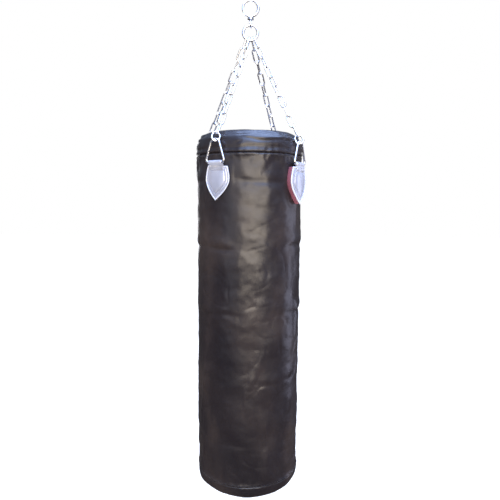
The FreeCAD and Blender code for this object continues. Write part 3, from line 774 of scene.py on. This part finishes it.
class Shader:
    """A small helper that adds nodes to a new Principled material."""

    def __init__(self, name, color, roughness, metallic=0.0):
        self.material = bpy.data.materials.new(name)
        self.material.use_nodes = True
        self.tree = self.material.node_tree
        self.surface = self.tree.nodes["Principled BSDF"]
        self.set("Base Color", (*color, 1.0))
        self.set("Roughness", roughness)
        self.set("Metallic", metallic)
        self.place = self.tree.nodes.new("ShaderNodeTexCoord").outputs["Object"]
        self.bumped = None

    def set(self, socket, value):
        self.surface.inputs[socket].default_value = value

    def link(self, source, target):
        self.tree.links.new(source, target)

    def noise(self, scale, detail=3.0, stretch=None):
        node = self.tree.nodes.new("ShaderNodeTexNoise")
        node.inputs["Scale"].default_value = scale
        node.inputs["Detail"].default_value = detail
        self.link(self.stretched(stretch), node.inputs["Vector"])
        return node.outputs["Fac"]

    def cells(self, scale):
        node = self.tree.nodes.new("ShaderNodeTexVoronoi")
        node.inputs["Scale"].default_value = scale
        self.link(self.place, node.inputs["Vector"])
        return node.outputs["Distance"]

    def weave(self, scale, direction):
        node = self.tree.nodes.new("ShaderNodeTexWave")
        node.bands_direction = direction
        node.inputs["Scale"].default_value = scale
        node.inputs["Distortion"].default_value = 0.6
        self.link(self.place, node.inputs["Vector"])
        return node.outputs["Fac"]

    def stretched(self, stretch):
        if stretch is None:
            return self.place
        node = self.tree.nodes.new("ShaderNodeMapping")
        node.inputs["Scale"].default_value = stretch
        self.link(self.place, node.inputs["Vector"])
        return node.outputs["Vector"]

    def ramp(self, value, stops):
        node = self.tree.nodes.new("ShaderNodeValToRGB")
        fill_ramp(node.color_ramp.elements, stops)
        self.link(value, node.inputs["Fac"])
        return node.outputs["Color"]

    def spread(self, value, low, high, socket):
        """A noise value, mostly between 0.3 and 0.7, spread over low to high."""
        node = self.tree.nodes.new("ShaderNodeMapRange")
        node.inputs["From Min"].default_value = 0.3
        node.inputs["From Max"].default_value = 0.7
        node.inputs["To Min"].default_value = low
        node.inputs["To Max"].default_value = high
        self.link(value, node.inputs["Value"])
        self.link(node.outputs["Result"], self.surface.inputs[socket])

    def bump(self, height, strength, depth):
        node = self.tree.nodes.new("ShaderNodeBump")
        node.inputs["Strength"].default_value = strength
        node.inputs["Distance"].default_value = depth
        self.link(height, node.inputs["Height"])
        if self.bumped:
            self.link(self.bumped, node.inputs["Normal"])
        self.bumped = node.outputs["Normal"]
        self.link(self.bumped, self.surface.inputs["Normal"])

    def color(self, output):
        self.link(output, self.surface.inputs["Base Color"])


def leather(name, dark, mid, light, roughness, grain=1.0, coat=0.0, metallic=0.0):
    """Leather: pebbled grain, fine creases, uneven dye and finish."""
    s = Shader(name, mid, roughness, metallic)
    blotch = s.noise(7.0, 5.0, (1.0, 1.0, 0.6))
    s.color(s.ramp(blotch, [(0.32, dark), (0.52, mid), (0.72, light)]))
    s.spread(s.noise(16.0, 6.0), roughness - 0.07, roughness + 0.10, "Roughness")
    s.bump(s.noise(34.0, 6.0, (1.0, 1.0, 1.6)), 0.22 * grain, 1.4 * MM)
    s.bump(s.cells(520.0), 0.18 * grain, 0.25 * MM)
    s.bump(s.noise(900.0, 2.0), 0.12 * grain, 0.12 * MM)
    s.set("Coat Weight", coat)
    s.set("Coat Roughness", 0.25)
    return s.material


def metal(name, color, roughness, wear):
    """Plated or bare metal with faint rubbing marks."""
    s = Shader(name, color, roughness, 1.0)
    s.spread(s.noise(60.0, 5.0), roughness, roughness + wear, "Roughness")
    s.bump(s.noise(240.0, 3.0), 0.05, 0.15 * MM)
    return s.material


def cloth(name, dark, light, threads):
    """Plain weave."""
    s = Shader(name, light, 0.85)
    s.color(s.ramp(s.noise(threads / 3, 4.0), [(0.35, dark), (0.65, light)]))
    s.bump(s.weave(threads, "X"), 0.5, 0.3 * MM)
    s.bump(s.weave(threads, "Z"), 0.5, 0.3 * MM)
    s.set("Sheen Weight", 0.3)
    return s.material


EDGING = leather("pale_edging", (0.48, 0.48, 0.52), (0.56, 0.57, 0.62), (0.64, 0.65, 0.70),
                 0.42, grain=0.6)
MATERIALS = {
    "chrome_steel": metal("chrome_steel", (0.86, 0.87, 0.89), 0.10, 0.10),
    "spring_steel": metal("spring_steel", (0.50, 0.51, 0.53), 0.28, 0.10),
    "washer_brass": metal("washer_brass", (0.72, 0.55, 0.26), 0.25, 0.12),
    "zip_metal": metal("zip_metal", (0.62, 0.61, 0.58), 0.24, 0.14),
    "dark_leather": leather("dark_leather", (0.007, 0.005, 0.007), (0.014, 0.010, 0.011),
                            (0.036, 0.025, 0.021), 0.38, coat=0.2),
    "silver_leather": leather("silver_leather", (0.34, 0.35, 0.41), (0.50, 0.51, 0.58),
                              (0.68, 0.69, 0.76), 0.30, grain=0.8, metallic=0.45),
    "red_leather": leather("red_leather", (0.09, 0.025, 0.034), (0.24, 0.075, 0.095),
                           (0.40, 0.18, 0.22), 0.42),
    "liner_canvas": cloth("liner_canvas", (0.36, 0.33, 0.27), (0.50, 0.47, 0.40), 700.0),
    "textile_filling": cloth("textile_filling", (0.26, 0.26, 0.27), (0.44, 0.42, 0.40), 90.0),
    "zip_fabric": cloth("zip_fabric", (0.012, 0.012, 0.014), (0.03, 0.03, 0.034), 900.0),
}


def paint(obj, slot):
    obj.data.materials.clear()
    obj.data.materials.append(MATERIALS[slot])
    return obj


def dress(obj, slot, *nodes, body="bag"):
    """Finish a new piece: its material, the body it rides on and the CAD nodes it replaces."""
    paint(obj, slot)
    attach(obj, body)
    if nodes:
        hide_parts(*nodes)
    return obj


# Stage, light and camera --------------------------------------------------------------------

def stage():
    """Wide pale floor a little below the bag."""
    size, drop = 16.0, 0.45
    corners = [(x, y, FLOOR - drop) for x, y in ((-size, -size), (size, -size), (size, size), (-size, size))]
    floor = mesh_object("floor", corners, [(0, 1, 2, 3)], smooth=False)
    s = Shader("floor_paint", (0.45, 0.45, 0.45), 0.9)
    s.set("Emission Color", (1.0, 1.0, 1.0, 1.0))
    s.set("Emission Strength", 0.95)
    floor.data.materials.append(s.material)
    floor.visible_glossy = False


def area_light(name, place, target, size, power, color):
    """A soft rectangular light, aimed at a point and hidden from the camera."""
    light = bpy.data.lights.new(name, "AREA")
    light.shape = "RECTANGLE"
    light.size, light.size_y = size
    light.energy = power
    light.color = color
    obj = bpy.data.objects.new(name, light)
    bpy.context.scene.collection.objects.link(obj)
    obj.location = place
    aim = Vector(target) - Vector(place)
    obj.rotation_euler = aim.to_track_quat("-Z", "Y").to_euler()
    obj.visible_camera = False


def lights():
    """Warm key light in front, cool light from above, weak light from the sides and behind."""
    front = (0.0, 0.0, LID - 0.40)
    area_light("key", (0.45, -2.80, LID - 0.06), front, (2.5, 1.5), 76, (1.0, 0.87, 0.70))
    area_light("fill", (-1.9, -2.3, LID - 0.30), front, (1.2, 1.7), 6, (0.86, 0.90, 1.0))
    sky_blue = (0.42, 0.58, 1.0)
    area_light("sky_front", (0.45, -2.3, LID + 1.45), (0, 0, LID - 0.05), (2.5, 1.3), 58, sky_blue)
    area_light("sky", (0.35, -0.45, LID + 1.7), (0, 0, LID), (2.3, 2.0), 120, sky_blue)
    area_light("left", (-2.6, 0.2, LID - 0.5), front, (0.8, 2.2), 2, (1.0, 0.74, 0.66))
    area_light("right", (2.6, 0.5, LID - 0.6), front, (0.8, 2.2), 15, (0.74, 0.76, 1.0))
    area_light("behind", (-0.5, 2.9, LID), front, (1.9, 1.5), 40, (0.95, 0.96, 1.0))


def world():
    """White backdrop; for light and reflections a soft studio, bluish above and darker below."""
    scene = bpy.context.scene
    scene.view_settings.view_transform = "Standard"
    scene.world = bpy.data.worlds.new("studio")
    scene.world.use_nodes = True
    tree = scene.world.node_tree
    tree.nodes.clear()
    direction = tree.nodes.new("ShaderNodeTexCoord")
    split = tree.nodes.new("ShaderNodeSeparateXYZ")
    tree.links.new(direction.outputs["Generated"], split.inputs["Vector"])
    ramp = tree.nodes.new("ShaderNodeValToRGB")
    level = tree.nodes.new("ShaderNodeMapRange")
    level.inputs["From Min"].default_value = -1.0
    tree.links.new(split.outputs["Z"], level.inputs["Value"])
    tree.links.new(level.outputs["Result"], ramp.inputs["Fac"])
    stops = ((0.0, (0.10, 0.09, 0.095)), (0.44, (0.10, 0.09, 0.095)), (0.52, (0.17, 0.16, 0.17)),
             (0.72, (0.30, 0.34, 0.42)), (1.0, (0.42, 0.54, 0.85)))
    fill_ramp(ramp.color_ramp.elements, stops)
    studio = tree.nodes.new("ShaderNodeBackground")
    tree.links.new(ramp.outputs["Color"], studio.inputs["Color"])
    backdrop = tree.nodes.new("ShaderNodeBackground")
    backdrop.inputs["Color"].default_value = (1.0, 1.0, 1.0, 1.0)
    ray = tree.nodes.new("ShaderNodeLightPath")
    mix = tree.nodes.new("ShaderNodeMixShader")
    tree.links.new(ray.outputs["Is Camera Ray"], mix.inputs["Fac"])
    tree.links.new(studio.outputs["Background"], mix.inputs[1])
    tree.links.new(backdrop.outputs["Background"], mix.inputs[2])
    output = tree.nodes.new("ShaderNodeOutputWorld")
    tree.links.new(mix.outputs["Shader"], output.inputs["Surface"])


def camera():
    """Camera in front of the bag, level with its upper part and looking slightly down."""
    data = bpy.data.cameras.new("camera")
    data.sensor_width = 36.0
    data.lens = 32.9
    data.clip_end = 100.0
    obj = bpy.data.objects.new("camera", data)
    bpy.context.scene.collection.objects.link(obj)
    obj.location = (0.004, -1.567, LID - 0.211)
    obj.rotation_euler = (math.radians(90 - 6.33), 0, 0)
    obj.rotation_euler.rotate_axis("Z", math.radians(0.45))
    bpy.context.scene.camera = obj


# Build --------------------------------------------------------------------------------------

stage()
lights()
world()
camera()

for part in frame["record"]["subparts"]:
    paint(frame["nodes"][part["node"]], part["material_slot"])

SETTLED = settle_leather()

skin = dress(bag_leather(), "dark_leather",
             "top_cap", "leather_body", "bottom_cap", "top_welt", "bottom_welt")
dress(inner_bag("inner_liner", LINER_INSET), "liner_canvas", "canvas_liner")
dress(inner_bag("inner_filling", FILLING_INSET), "textile_filling", "filling")
dress(seam_strip(), "dark_leather", "back_seam")
dress(strip_stitches(), "zip_fabric")
dress(round_stitches("lid_thread", TOP_SEAM - 6 * MM, TOP_SEED), "zip_fabric")
dress(round_stitches("foot_thread", BOTTOM_SEAM + 6 * MM, BOTTOM_SEED), "zip_fabric")
front_tape, back_tape = zip_tapes()
dress(front_tape, "zip_fabric", "zip_stringers")
dress(back_tape, "zip_fabric")
dress(zip_teeth(), "zip_metal")

for corner in CORNERS:
    thick, reach, tilt, stretch = TAB_LOOKS[corner]
    low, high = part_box("dring_" + corner)
    middle = (low + high) / 2
    turn = corner_turn(corner)
    bar = (math.hypot(middle.x, middle.y), low.z + BAR_HALF)
    backing_r = BAG_R - BACKING_SINK
    face_r = backing_r + thick
    backing = shield_solid("backing_" + corner, backing_rings(backing_r, thick, reach), turn,
                           tilt, stretch)
    dress(backing, "red_leather", "tab_backing_" + corner)
    face = shield_solid("face_" + corner, face_rings(face_r), turn, tilt, stretch)
    dress(face, "silver_leather", "tab_face_" + corner)
    edge = dress(piping("piping_" + corner, face_r, turn, tilt, stretch), "silver_leather")
    edge.data.materials[0] = EDGING
    dress(tab_stitches(corner, face_r, turn, tilt, stretch), "silver_leather")
    dress(fold_piece("fold_" + corner, bar, face_r, turn), "silver_leather")
    dress(fold_stitches(corner, bar, face_r, turn), "silver_leather")
